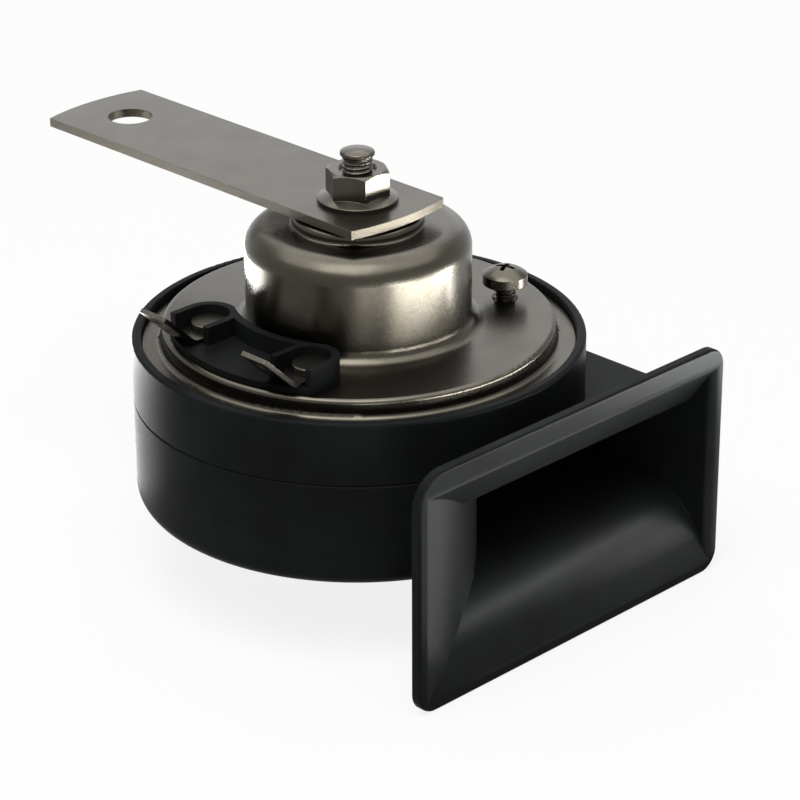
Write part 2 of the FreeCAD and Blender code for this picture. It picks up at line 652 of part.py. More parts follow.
def terminal(x, y):
    """Blade terminal: a pad under the rivet's head, bent up and out over the disc's edge."""
    rise = math.radians(BLADE_ANGLE)
    tip_x = BLADE_BEND_X - BLADE_LENGTH * math.cos(rise)
    tip_z = BLADE_PAD_TOP + BLADE_LENGTH * math.sin(rise)
    under_x = BLADE_BEND_X - BLADE_T * math.tan(rise / 2)
    outline = [
        (x, BLADE_PAD_TOP, 0),
        (BLADE_BEND_X, BLADE_PAD_TOP, BLADE_BEND_R),
        (tip_x, tip_z, 0),
        (tip_x - BLADE_T * math.sin(rise), tip_z - BLADE_T * math.cos(rise), 0),
        (under_x, BLOCK_PLATE_TOP, BLADE_BEND_R + BLADE_T),
        (x, BLOCK_PLATE_TOP, 0),
    ]
    wire = rounded_wire([(V(px, y - BLADE_W / 2, pz), f) for px, pz, f in outline])
    blade = Part.Face(wire).extrude(V(0, BLADE_W, 0))
    corners = [e for e in blade.Edges if e.BoundBox.XMax < tip_x + BLADE_T / 2 and e.BoundBox.YLength < BLADE_T / 2]
    blade = blade.makeChamfer(BLADE_CHAMFER, corners)
    hole = Part.makeCylinder(BLADE_HOLE_R, 4 * BLADE_T, V(0, 0, -2 * BLADE_T), UP)
    hole.rotate(V(0, 0, 0), V(0, 1, 0), BLADE_ANGLE)
    hole.translate(V(tip_x + BLADE_HOLE_INSET * math.cos(rise), y, tip_z - BLADE_HOLE_INSET * math.sin(rise)))
    pad = cylinder(BLADE_W / 2, BLOCK_PLATE_TOP, BLADE_PAD_TOP, x, y)
    blade = blade.cut(hole).fuse(pad).removeSplitter()
    return blade.cut(cylinder(RIVET_R + RIVET_GAP, BLOCK_PLATE_TOP, BLADE_PAD_TOP, x, y))


def rivet(x, y, tail_z):
    """Domed head on the terminal's pad, shank through block and disc, flat tail inside."""
    body = revolved([
        (0, tail_z - RIVET_TAIL_H, 0),
        (RIVET_TAIL_R, tail_z - RIVET_TAIL_H, RIVET_TAIL_H / 3),
        (RIVET_TAIL_R, tail_z, 0),
        (RIVET_R, tail_z, 0),
        (RIVET_R, BLADE_PAD_TOP, 0),
        (RIVET_HEAD_R, BLADE_PAD_TOP, 0),
        (RIVET_HEAD_R, BLADE_PAD_TOP + RIVET_HEAD_H, RIVET_HEAD_EDGE),
        (0, BLADE_PAD_TOP + RIVET_HEAD_H, 0),
    ])
    body.translate(V(x, y, 0))
    return body


def terminal_rivets():
    front = rivet(*RIVETS[0], PLATE_Z)
    rear = rivet(*RIVETS[1], ARM_Z)
    return Part.makeCompound([front, rear])


def breaker_insulators():
    """Washers that keep the breaker's two halves off the disc."""
    bore = RIVET_R + RIVET_GAP
    front = tube(bore, INSULATOR_R, PLATE_TOP, DISC_Z, *RIVETS[0])
    rear = tube(bore, INSULATOR_R, ARM_TOP, DISC_Z, *RIVETS[1])
    return Part.makeCompound([front, rear])


def contact_plate():
    """Fixed half of the breaker, from the front rivet to the adjusting screw."""
    x, y = RIVETS[0]
    plate = strap([(x, y), (SCREW_X, SCREW_Y)], PLATE_W, PLATE_Z, PLATE_TOP)
    plate = plate.cut(cylinder(RIVET_R + RIVET_GAP, PLATE_Z, PLATE_TOP, x, y))
    return plate.cut(cylinder(CONTACT_STEM_R, PLATE_Z, PLATE_TOP, *contact_place()))


def contact_place():
    """The contact lies on the plate's middle line, below the arm."""
    x, y = RIVETS[0]
    share = (ARM_X - x) / (SCREW_X - x)
    return ARM_X, y + share * (SCREW_Y - y)


def contact_arm():
    """Spring half of the breaker, from the rear rivet past the armature to the contact."""
    x, y = RIVETS[1]
    arm = strap([(x, y), (ARM_X, ARM_KNEE_Y), contact_place()], ARM_W, ARM_Z, ARM_TOP)
    arm = arm.cut(cylinder(RIVET_R + RIVET_GAP, ARM_Z, ARM_TOP, x, y))
    return arm.cut(cylinder(CONTACT_STEM_R + STEM_GAP, ARM_Z, ARM_TOP, *contact_place()))


def fixed_contact():
    x, y = contact_place()
    middle = PLATE_TOP + CONTACT_GAP / 2
    head = cylinder(CONTACT_R, PLATE_TOP, middle - CONTACT_SPLIT, x, y)
    return head.fuse(cylinder(CONTACT_STEM_R, PLATE_Z, PLATE_TOP, x, y)).removeSplitter()


def moving_contact():
    x, y = contact_place()
    middle = PLATE_TOP + CONTACT_GAP / 2
    head = cylinder(CONTACT_R, middle + CONTACT_SPLIT, ARM_Z, x, y)
    return head.fuse(cylinder(CONTACT_STEM_R, ARM_Z, ARM_TOP + CONTACT_STEM_H, x, y)).removeSplitter()


def gasket(z0):
    return tube(FLANGE_R - GASKET_W, FLANGE_R - STACK_GAP, z0, z0 + GASKET_T)


def diaphragm():
    return tube(ARMATURE_STEM_R + STEM_GAP, FLANGE_R - STACK_GAP, DIAPHRAGM_Z, DIAPHRAGM_TOP)


def armature():
    """Steel plug below the pole, with the collar that lifts the contact arm."""
    collar_top = ARM_Z - COLLAR_GAP
    head_z = DIAPHRAGM_Z - ARMATURE_WASHER_T
    return revolved([
        (0, head_z - STEM_HEAD_H, 0),
        (STEM_HEAD_R, head_z - STEM_HEAD_H, STEM_HEAD_H / 3),
        (STEM_HEAD_R, head_z, 0),
        (ARMATURE_STEM_R, head_z, 0),
        (ARMATURE_STEM_R, DIAPHRAGM_TOP, 0),
        (ARMATURE_R, DIAPHRAGM_TOP, 0),
        (ARMATURE_R, collar_top - COLLAR_H, 0),
        (COLLAR_R, collar_top - COLLAR_H, 0),
        (COLLAR_R, collar_top, 0),
        (ARMATURE_R, collar_top, 0),
        (ARMATURE_R, ARMATURE_TOP, 0),
        (0, ARMATURE_TOP, 0),
    ])


def armature_washer():
    return tube(ARMATURE_STEM_R + STEM_GAP, ARMATURE_R, DIAPHRAGM_Z - ARMATURE_WASHER_T, DIAPHRAGM_Z)


def coil_bobbin():
    """Bobbin that hangs under the dome's roof, round the pole core and the armature."""
    bore = CORE_R + BOBBIN_BORE_GAP
    roof = DOME_TOP - CUP_T
    return revolved([
        (bore, BOBBIN_Z, 0),
        (BOBBIN_FOOT_R, BOBBIN_Z, 0),
        (BOBBIN_FOOT_R, BOBBIN_Z + BOBBIN_FLANGE_T, 0),
        (bore + BOBBIN_WALL, BOBBIN_Z + BOBBIN_FLANGE_T, 0),
        (bore + BOBBIN_WALL, roof - BOBBIN_FLANGE_T, 0),
        (BOBBIN_TOP_R, roof - BOBBIN_FLANGE_T, 0),
        (BOBBIN_TOP_R, roof, 0),
        (bore, roof, 0),
    ])


def coil_winding():
    bore = CORE_R + BOBBIN_BORE_GAP + BOBBIN_WALL
    return tube(bore, WINDING_R, BOBBIN_Z + BOBBIN_FLANGE_T, DOME_TOP - CUP_T - BOBBIN_FLANGE_T)


NODES = {
    "trumpet_body": trumpet_body,
    "trumpet_cover": trumpet_cover,
    "driver_cup": driver_cup,
    "pole_stud": pole_stud,
    "spacer_washer": spacer_washer,
    "mounting_bracket": mounting_bracket,
    "flange_nut": flange_nut,
    "adjusting_screw": adjusting_screw,
    "terminal_block": terminal_block,
    "terminal_front": lambda: terminal(*RIVETS[0]),
    "terminal_rear": lambda: terminal(*RIVETS[1]),
    "terminal_rivets": terminal_rivets,
    "breaker_insulators": breaker_insulators,
    "contact_plate": contact_plate,
    "contact_arm": contact_arm,
    "fixed_contact": fixed_contact,
    "moving_contact": moving_contact,
    "diaphragm": diaphragm,
    "gasket_upper": lambda: gasket(DIAPHRAGM_TOP),
    "gasket_lower": lambda: gasket(LEDGE_Z),
    "armature": armature,
    "armature_washer": armature_washer,
    "coil_bobbin": coil_bobbin,
    "coil_winding": coil_winding,
}

os.makedirs("parts", exist_ok=True)
to_mounting_hole = V(0, -BRACKET_REACH, -(BRACKET_Z + BRACKET_TOP) / 2)
for name, make in NODES.items():
    shape = make()
    shape.translate(to_mounting_hole)
    shape.exportStep("parts/" + name + ".step")
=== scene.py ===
import math

import bpy
from mathutils import Matrix, Vector


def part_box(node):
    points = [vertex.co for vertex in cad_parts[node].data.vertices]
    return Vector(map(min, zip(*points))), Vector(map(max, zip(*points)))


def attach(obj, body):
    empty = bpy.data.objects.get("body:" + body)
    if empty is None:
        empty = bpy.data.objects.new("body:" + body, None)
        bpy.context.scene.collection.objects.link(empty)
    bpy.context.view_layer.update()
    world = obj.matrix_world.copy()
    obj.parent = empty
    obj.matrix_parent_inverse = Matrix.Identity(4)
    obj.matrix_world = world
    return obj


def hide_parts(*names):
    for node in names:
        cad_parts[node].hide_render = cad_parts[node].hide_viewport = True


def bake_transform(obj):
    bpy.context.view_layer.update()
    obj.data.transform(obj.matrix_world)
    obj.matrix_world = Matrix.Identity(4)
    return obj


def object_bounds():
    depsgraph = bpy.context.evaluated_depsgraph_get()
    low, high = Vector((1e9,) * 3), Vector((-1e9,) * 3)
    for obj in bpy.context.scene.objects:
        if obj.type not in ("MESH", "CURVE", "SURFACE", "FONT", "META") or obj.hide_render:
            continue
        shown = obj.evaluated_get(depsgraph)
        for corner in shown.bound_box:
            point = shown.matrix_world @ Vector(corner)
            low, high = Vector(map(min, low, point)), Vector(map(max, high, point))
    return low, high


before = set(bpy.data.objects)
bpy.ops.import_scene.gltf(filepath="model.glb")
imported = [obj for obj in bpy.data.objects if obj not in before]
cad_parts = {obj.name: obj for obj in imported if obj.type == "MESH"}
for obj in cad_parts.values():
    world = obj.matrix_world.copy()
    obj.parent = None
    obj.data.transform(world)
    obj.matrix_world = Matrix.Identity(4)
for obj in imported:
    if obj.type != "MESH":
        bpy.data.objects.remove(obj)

bl_info = {
    "name": "Trumpet car horn",
    "version": (1, 0, 0),
    "blender": (4, 5, 0),
    "location": "View3D > Sidebar > Car horn",
    "description": "Finishes and turned details for a snail-trumpet car horn on its bracket",
    "category": "Add Mesh",
}

MM = 0.001
CAD_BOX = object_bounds()

# Points nearer than the first are merged, and cuts ignore less than the second
MERGE = MM / 500
CUT = MM / 1000
SMOOTH_BELOW = math.radians(35)

# Sizes that the CAD nodes' boxes don't give
MOUTH_LEFT = 33.8 * MM  # from the horn's axis to the bell's left side
LIP_CORNER = 3.9 * MM  # radius of the lip's lower left corner
HOUSING_HEIGHT = 30.6 * MM  # from its base to the top of the rim
DIAPHRAGM_HOLE = 2.55 * MM  # radius
CONTACT_STEM = 0.7 * MM  # radius

# The staked end of the stud, in millimetres: how far in from its rim, and how far above the thread
STAKED_END = ((0.08, 0.3), (0, 0.4), (0, 0.8), (0.1, 0.95), (0.4, 1.1), (1.0, 1.28), (1.8, 1.42))

# The screw's cross recess: each arm's length, width and depth in millimetres, and how it is turned
RECESS_ARM = (4.6, 1.05, 2.9)
RECESS_TURNS = (20, 110)
RECESS_TAPER = 0.45

# The diaphragm is drawn in equal sectors, each with rings and steps enough to bend smoothly
SECTORS = 8
SECTOR_RINGS = 14
SECTOR_STEPS = 12
ARM_CUTS = 24

# Camera: angles in degrees, roll in radians, and its place in millimetres from the housing's base
AZIMUTH = -44.95
ELEVATION = 24.95
ROLL = -0.0034
CAMERA_PLACE = (-359.64, -370.43, 256.74)
LENS = 144.03
SENSOR = 36

# Floor: its width in metres, its gap below the horn, and how much of it shows as pure white
FLOOR_WIDTH = 12
FLOOR_GAP = 0.1 * MM
FLOOR_WHITE = 0.85

# Soft lamps: name, x and y from the horn's axis, height above the floor, height aimed at, width
# and depth, all in millimetres, then radiance. Cards show only in glossy surfaces, and those with
# no aim lie on the floor and face up.
LAMPS = (
    ("back softbox", 566, 566, 440, 60, 900, 620, 0.75),
    ("top softbox", -290, -135, 800, 60, 600, 600, 5.0),
    ("ceiling card", 0, 0, 900, 60, 1700, 1700, 3.0),
    ("right card", 22, -75, 39, 45, 100, 10, 60.0),
    ("side card", -44, -66, 39, 45, 36, 10, 9.0),
    ("nut card", 72, -76, 28, 40, 40, 26, 30.0),
    ("front card", 52, -86, 1, None, 134, 70, 6.0),
    ("left far card", 14, 134, 1, None, 190, 34, 24.0),
    ("left near card", 8, 84, 1, None, 120, 60, 3.2),
)


def corners(node):
    """Lowest and highest corner of a CAD node's box."""
    low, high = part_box(node)
    return Vector(low), Vector(high)


def centre_of(node):
    """Middle of a CAD node's box."""
    low, high = corners(node)
    return (low + high) / 2


# The horn's own axis is the nut's, and the adjusting screw has another
AXIS = centre_of("flange_nut")
SCREW_AXIS = centre_of("adjusting_screw")
NUT_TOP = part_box("flange_nut")[1][2]
PAD_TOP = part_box("driver_cup")[1][2]


def linear(hex_colour):
    """sRGB hex, such as 8A867D, to linear RGBA."""
    shares = [int(hex_colour[i:i + 2], 16) / 255 for i in (0, 2, 4)]
    rgb = (s / 12.92 if s <= 0.04045 else ((s + 0.055) / 1.055) ** 2.4 for s in shares)
    return (*rgb, 1.0)


def colour_property(name, description, hex_colour):
    """A colour for a PropertyGroup."""
    return bpy.props.FloatVectorProperty(
        name=name, description=description, subtype="COLOR", size=4, min=0, max=1,
        default=linear(hex_colour))


def length_property(name, description, millimetres):
    """A length for a PropertyGroup."""
    return bpy.props.FloatProperty(
        name=name, description=description, unit="LENGTH", precision=5, min=0,
        default=millimetres * MM)


class HornFinishes(bpy.types.PropertyGroup):
    """Colours of the horn's materials."""
    nylon: colour_property("Nylon", "Glass-filled nylon of the trumpet", "141516")
    nylon_worn: colour_property("Nylon, rubbed", "The nylon where the mould left it pale", "1A1C1D")
    phenolic: colour_property("Phenolic", "Black phenolic of the terminal block", "11100F")
    zinc: colour_property("Zinc plate", "Satin zinc plate on steel", "434039")
    zinc_dull: colour_property("Zinc plate, dull", "The plate where its bloom is thicker", "3D3A34")
    sheared: colour_property("Sheared steel", "Torn grain on the strap's cut edges", "4A463E")
    tin: colour_property("Tin", "Tin plate on the brass blades", "55524B")
    spring: colour_property("Spring steel", "Bright rolled spring strip", "8D8A84")
    tungsten: colour_property("Tungsten", "Ground faces of the contacts", "A3A3A6")
    fibre: colour_property("Gasket fibre", "Dark pressed fibre sheet", "2B2925")
    bobbin: colour_property("Bobbin nylon", "Natural nylon of the coil's bobbin", "C9C2AC")
    copper: colour_property("Enamelled copper", "Copper wire below clear enamel", "9C4A22")
    # Painted shade: a darker copper for the grooves between the winding's turns
    copper_groove_painted_shade: colour_property("Copper between turns", "Painted shade in the grooves between turns", "5A2410")


class HornThreads(bpy.types.PropertyGroup):
    """Sizes of the turned details."""
    stud_crest: length_property("Stud thread radius", "Crest radius of the stud's thread", 2.68)
    stud_root: length_property("Stud thread root", "Root radius of the stud's thread", 2.35)
    stud_pitch: length_property("Stud pitch", "Distance between the stud's crests", 0.8)
    screw_crest: length_property("Screw thread radius", "Crest radius of the screw's thread", 2.0)
    screw_root: length_property("Screw thread root", "Root radius of the screw's thread", 1.6)
    screw_pitch: length_property("Screw pitch", "Distance between the screw's crests", 0.7)
    head_radius: length_property("Screw head radius", "Radius of the pan head", 4.0)
    head_side: length_property("Screw head side", "Height of the head's straight side", 1.85)
    head_dome: length_property("Screw head dome", "Height of the dome above the side", 1.5)


class HornStudio(bpy.types.PropertyGroup):
    """Floor and light."""
    floor: colour_property("Floor", "Pale floor", "F6F6F4")
    world: bpy.props.FloatProperty(
        name="Sky", description="Strength of the even light", min=0, default=0.35)
    lamps: bpy.props.FloatProperty(
        name="Lamps", description="Multiplies every soft lamp", min=0, default=1.0)


def add_node(tree, kind, links=None, **settings):
    """Adds a node. Links maps an input to an output socket, or to a plain value."""
    node = tree.nodes.new(kind)
    for name, value in settings.items():
        setattr(node, name, value)
    for key, value in (links or {}).items():
        if isinstance(value, bpy.types.NodeSocket):
            tree.links.new(value, node.inputs[key])
        else:
            node.inputs[key].default_value = value
    return node


def new_material(name):
    """An empty node material and its tree."""
    material = bpy.data.materials.new(name)
    material.use_nodes = True
    material.node_tree.nodes.clear()
    return material, material.node_tree


def close_material(tree, shader):
    """Joins the shader to the material's output."""
    add_node(tree, "ShaderNodeOutputMaterial", {"Surface": shader.outputs[0]})


def dress(node, material):
    """Puts a material in every slot of a CAD node, or of a new piece."""
    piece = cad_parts[node] if isinstance(node, str) else node
    if not piece.material_slots:
        piece.data.materials.append(material)
    for slot in piece.material_slots:
        slot.material = material


def moulded_plastic(name, colour, rubbed, roughness, grain_mm, grain_depth_mm, bevel_mm):
    """Moulded plastic: an even skin with a fine spark-eroded grain that breaks up its gloss.
    The real grain is about 0.05 mm, and is drawn coarser so that it shows."""
    material, tree = new_material(name)
    place = add_node(tree, "ShaderNodeTexCoord")
    # Paler patches about 14 mm across, where the mould was warmer
    broad = add_node(tree, "ShaderNodeTexNoise", {
        "Vector": place.outputs["Object"], "Scale": 1 / (14 * MM), "Detail": 3.0,
        "Roughness": 0.55})
    grain = add_node(tree, "ShaderNodeTexNoise", {
        "Vector": place.outputs["Object"], "Scale": 1 / (grain_mm * MM), "Detail": 2.0,
        "Roughness": 0.6})
    spread = add_node(tree, "ShaderNodeMapRange", {
        "Value": broad.outputs[0], "From Min": 0.35, "From Max": 0.68})
    tint = add_node(tree, "ShaderNodeMix", {
        "Factor": spread.outputs[0], "A": colour, "B": rubbed}, data_type="RGBA")
    gloss = add_node(tree, "ShaderNodeMapRange", {
        "Value": grain.outputs[0], "From Min": 0.3, "From Max": 0.7,
        "To Min": roughness - 0.05, "To Max": roughness + 0.06})
    rounded = add_node(tree, "ShaderNodeBevel", {"Radius": bevel_mm * MM}, samples=4)
    bump = add_node(tree, "ShaderNodeBump", {
        "Height": grain.outputs[0], "Strength": 0.5, "Distance": grain_depth_mm * MM,
        "Normal": rounded.outputs[0]})
    shader = add_node(tree, "ShaderNodeBsdfPrincipled", {
        "Base Color": tint.outputs[2], "Roughness": gloss.outputs[0], "IOR": 1.53,
        "Specular IOR Level": 0.015, "Normal": bump.outputs[0]})
    close_material(tree, shader)
    return material


def plated_metal(name, colour, dull, roughness, centre, run, bevel_mm=0.12, sheared=None):
    """Plated metal, cloudy over a few millimetres. Run is round for turned and drawn pieces, whose
    fine lines follow the axis, and long for rolled strip, whose lines follow its length.
    Sheared is the colour of upright cut edges, whose torn grain is coarser than rolled faces."""
    # Real drawing, rolling and lathe lines are about 0.05 mm apart, too fine to show
    grain = 0.22 * MM
    material, tree = new_material(name)
    place = add_node(tree, "ShaderNodeTexCoord")
    moved = add_node(tree, "ShaderNodeMapping", {
        "Vector": place.outputs["Object"], "Location": -centre})
    part = add_node(tree, "ShaderNodeSeparateXYZ", {"Vector": moved.outputs[0]})
    if run == "round":
        flat = add_node(tree, "ShaderNodeVectorMath", {
            0: moved.outputs[0], 1: (1.0, 1.0, 0.0)}, operation="MULTIPLY")
        radius = add_node(tree, "ShaderNodeVectorMath", {0: flat.outputs[0]}, operation="LENGTH")
        turn = add_node(tree, "ShaderNodeMath", {
            0: part.outputs[1], 1: part.outputs[0]}, operation="ARCTAN2")
        slow = add_node(tree, "ShaderNodeMath", {
            0: turn.outputs[0], 1: 2 * MM}, operation="MULTIPLY")
        lines = add_node(tree, "ShaderNodeCombineXYZ", {
            0: radius.outputs["Value"], 1: slow.outputs[0], 2: part.outputs[2]})
    else:
        lines = add_node(tree, "ShaderNodeMapping", {
            "Vector": moved.outputs[0], "Scale": (1.0, 0.05, 1.0)})
    clouds = add_node(tree, "ShaderNodeTexNoise", {
        "Vector": moved.outputs[0], "Scale": 1 / (7 * MM), "Detail": 4.0, "Roughness": 0.6})
    fine = add_node(tree, "ShaderNodeTexNoise", {
        "Vector": lines.outputs[0], "Scale": 1 / grain, "Detail": 2.0, "Roughness": 0.7})
    speck = add_node(tree, "ShaderNodeTexNoise", {
        "Vector": moved.outputs[0], "Scale": 1 / grain, "Detail": 1.0})
    cover = add_node(tree, "ShaderNodeMapRange", {
        "Value": clouds.outputs[0], "From Min": 0.38, "From Max": 0.66})
    tint = add_node(tree, "ShaderNodeMix", {
        "Factor": cover.outputs[0], "A": colour, "B": dull}, data_type="RGBA")
    gloss = add_node(tree, "ShaderNodeMapRange", {
        "Value": clouds.outputs[0], "From Min": 0.35, "From Max": 0.65,
        "To Min": roughness - 0.01, "To Max": roughness + 0.015})
    rounded = add_node(tree, "ShaderNodeBevel", {"Radius": bevel_mm * MM}, samples=4)
    specks = add_node(tree, "ShaderNodeBump", {
        "Height": speck.outputs[0], "Strength": 0.5, "Distance": 0.016 * MM,
        "Normal": rounded.outputs[0]})
    bump = add_node(tree, "ShaderNodeBump", {
        "Height": fine.outputs[0], "Strength": 0.4, "Distance": 0.008 * MM,
        "Normal": specks.outputs[0]})
    if sheared is not None:
        # Upright faces of the strap are its cut edges
        facing = add_node(tree, "ShaderNodeSeparateXYZ", {"Vector": place.outputs["Normal"]})
        level = add_node(tree, "ShaderNodeMath", {0: facing.outputs[2]}, operation="ABSOLUTE")
        cut = add_node(tree, "ShaderNodeMapRange", {
            "Value": level.outputs[0], "From Min": 0.4, "From Max": 0.8,
            "To Min": 1.0, "To Max": 0.0})
        torn = add_node(tree, "ShaderNodeTexNoise", {
            "Vector": moved.outputs[0], "Scale": 1 / (0.3 * MM), "Detail": 3.0,
            "Roughness": 0.7})
        tint = add_node(tree, "ShaderNodeMix", {
            "Factor": cut.outputs[0], "A": tint.outputs[2], "B": sheared}, data_type="RGBA")
        gloss = add_node(tree, "ShaderNodeMapRange", {
            "Value": cut.outputs[0], "To Min": gloss.outputs[0], "To Max": roughness + 0.12})
        bump = add_node(tree, "ShaderNodeBump", {
            "Height": torn.outputs[0], "Strength": cut.outputs[0], "Distance": 0.06 * MM,
            "Normal": bump.outputs[0]})
    shader = add_node(tree, "ShaderNodeBsdfPrincipled", {
        "Base Color": tint.outputs[2], "Metallic": 1.0, "Roughness": gloss.outputs[0],
        "Normal": bump.outputs[0]})
    close_material(tree, shader)
    return material


def wound_copper(colour, groove_painted_shade):
    """Enamelled copper winding: turns of 0.5 mm wire side by side, glossy from the enamel. The
    grooves between turns are darkened with painted shade.
    """
    wire = 0.5 * MM
    material, tree = new_material("Enamelled copper winding")
    place = add_node(tree, "ShaderNodeTexCoord")
    turns = add_node(tree, "ShaderNodeTexWave", {
        "Vector": place.outputs["Object"], "Scale": 1 / wire / (2 * math.pi),
        "Distortion": 0.2}, wave_type="BANDS", bands_direction="Z")
    bump = add_node(tree, "ShaderNodeBump", {
        "Height": turns.outputs[1], "Strength": 0.8, "Distance": 0.15 * MM})
    # Painted shade: the grooves between turns are mixed towards the darker colour
    shade = add_node(tree, "ShaderNodeMix", {
        "Factor": turns.outputs[1], "A": groove_painted_shade, "B": colour}, data_type="RGBA")
    shader = add_node(tree, "ShaderNodeBsdfPrincipled", {
        "Base Color": shade.outputs[2], "Metallic": 0.9, "Roughness": 0.3, "Coat Weight": 0.6,
        "Coat Roughness": 0.15, "Normal": bump.outputs[0]})
    close_material(tree, shader)
    return material


def select_only(piece):
    """Leaves one piece selected and active."""
    bpy.ops.object.select_all(action="DESELECT")
    piece.select_set(True)
    bpy.context.view_layer.objects.active = piece


def draw_profile(name, axis, points):
    """A line through (radius, height) points, drawn from its first point by extruding its end."""
    radius, height = points[0]
    bpy.ops.object.select_all(action="DESELECT")
    bpy.ops.mesh.primitive_plane_add(size=MM, location=(axis[0] + radius, axis[1], height))
    piece = bpy.context.object
    piece.name = piece.data.name = name
    bpy.ops.object.transform_apply(location=True, rotation=True, scale=True)
    bpy.ops.object.mode_set(mode="EDIT")
    bpy.ops.mesh.select_mode(type="VERT")
    bpy.ops.mesh.select_all(action="SELECT")
    bpy.ops.mesh.merge(type="CENTER")
    for (r0, z0), (r1, z1) in zip(points, points[1:]):
        bpy.ops.mesh.extrude_region_move(TRANSFORM_OT_translate={"value": (r1 - r0, 0, z1 - z0)})
    bpy.ops.mesh.select_all(action="SELECT")
    return piece


def spin_profile(axis, steps, angle):
    """Spins what is selected in edit mode round an upright axis, closes it and turns its faces
    outwards."""
    bpy.ops.mesh.spin(steps=steps, angle=angle, center=(axis[0], axis[1], 0), axis=(0, 0, 1))
    bpy.ops.mesh.select_all(action="SELECT")
    bpy.ops.mesh.remove_doubles(threshold=MERGE)
    bpy.ops.mesh.normals_make_consistent(inside=False)
    bpy.ops.object.mode_set(mode="OBJECT")


def turned(name, axis, points, steps=96):
    """A lathe-turned piece from its profile."""
    piece = draw_profile(name, axis, points)
    spin_profile(axis, steps, 2 * math.pi)
    return piece


def threaded(name, axis, root, crest, pitch, low, high, steps=48):
    """A thread of one start, cut off flat at low and high."""
    bottom = low - pitch
    # Outline of one crest: radius, and height as a share of the pitch
    outline = ((root, 0), (crest, 0.42), (crest, 0.56), (root, 0.94), (root, 1))
    piece = draw_profile(name, axis, [
        (radius, bottom + share * pitch) for radius, share in outline])
    bpy.ops.object.mode_set(mode="OBJECT")
    bpy.context.scene.cursor.location = (axis[0], axis[1], 0)
    bpy.ops.object.origin_set(type="ORIGIN_CURSOR")
    screw = piece.modifiers.new("Thread", "SCREW")
    screw.axis = "Z"
    screw.angle = 2 * math.pi
    screw.screw_offset = pitch
    screw.iterations = math.ceil((high - low) / pitch) + 2
    screw.steps = screw.render_steps = steps
    screw.use_merge_vertices = True
    screw.merge_threshold = MERGE
    bpy.ops.object.modifier_apply(modifier=screw.name)
    bpy.ops.object.transform_apply(location=True, rotation=True, scale=True)
    bpy.ops.object.mode_set(mode="EDIT")
    for height, inner, outer in ((low, True, False), (high, False, True)):
        bpy.ops.mesh.select_all(action="SELECT")
        bpy.ops.mesh.remove_doubles(threshold=MERGE)
        bpy.ops.mesh.select_all(action="SELECT")
        bpy.ops.mesh.bisect(plane_co=(axis[0], axis[1], height), plane_no=(0, 0, 1), use_fill=True,
                            clear_inner=inner, clear_outer=outer, threshold=CUT)
    bpy.ops.mesh.select_all(action="SELECT")
    bpy.ops.mesh.normals_make_consistent(inside=False)
    bpy.ops.object.mode_set(mode="OBJECT")
    return piece


def combine(piece, other, operation):
    """Cuts another piece out of a piece, or adds it, and removes the other."""
    modifier = piece.modifiers.new("Combine", "BOOLEAN")
    modifier.operation = operation
    modifier.solver = "EXACT"
    modifier.object = other
    select_only(piece)
    bpy.ops.object.modifier_apply(modifier=modifier.name)
    bpy.data.objects.remove(other)


def join(piece, other, name):
    """Joins another piece into a piece, under a new name."""
    select_only(piece)
    other.select_set(True)
    bpy.ops.object.join()
    piece.name = piece.data.name = name
    return piece


def copy_of(source, name):
    """A copy with its own mesh, selected and active, that stands free of any body."""
    copy = bpy.data.objects.new(name, source.data.copy())
    copy.data.name = name
    bpy.context.scene.collection.objects.link(copy)
    select_only(copy)
    return copy


def finish_piece(piece, body, material):
    """Bakes the place into the mesh, shades it, and hangs the piece on its body. A piece that bends
    between two bodies in the real horn has None here and is left on no body."""
    select_only(piece)
    bpy.ops.object.transform_apply(location=True, rotation=True, scale=True)
    bpy.ops.object.shade_smooth_by_angle(angle=SMOOTH_BELOW)
    dress(piece, material)
    if body:
        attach(piece, body)


class HORN_OT_stud(bpy.types.Operator):
    """Turned stud with its pole core, a rolled thread above the nut and a staked end."""
    bl_idname = "horn.stud"
    bl_label = "Stud"

    def execute(self, context):
        sizes = context.scene.horn_threads
        colours = context.scene.horn_finishes
        low, high = corners("pole_stud")
        core = (high - low)[0] / 2
        chamfer = 0.3 * MM
        shoulder = PAD_TOP - 1.2 * MM
        root = sizes.stud_root
        ring = root + 0.68 * MM
        thread_end = high[2] - 1.5 * MM
        shank = turned("stud_shank", AXIS, [
            (0, low[2]),
            (core - chamfer, low[2]),
            (core, low[2] + chamfer),
            (core, shoulder),
            (ring, shoulder),
            (ring, NUT_TOP - 0.5 * MM),
            (root, NUT_TOP - 0.4 * MM),
            (root, thread_end),
            (root, thread_end + 0.25 * MM),
            *((ring - inset * MM, thread_end + rise * MM) for inset, rise in STAKED_END),
            (0, high[2]),
        ])
        thread = threaded("stud_thread", AXIS, root - 0.02 * MM, sizes.stud_crest,
                          sizes.stud_pitch, NUT_TOP - 0.35 * MM, thread_end + 0.2 * MM)
        stud = join(shank, thread, "stud")
        # Zinc-plated turned steel: fine lathe lines round the axis, satin
        finish = plated_metal("Zinc-plated turned steel, stud", colours.zinc, colours.zinc_dull,
                              0.26, AXIS, "round")
        finish_piece(stud, "horn", finish)
        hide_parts("pole_stud")
        return {"FINISHED"}


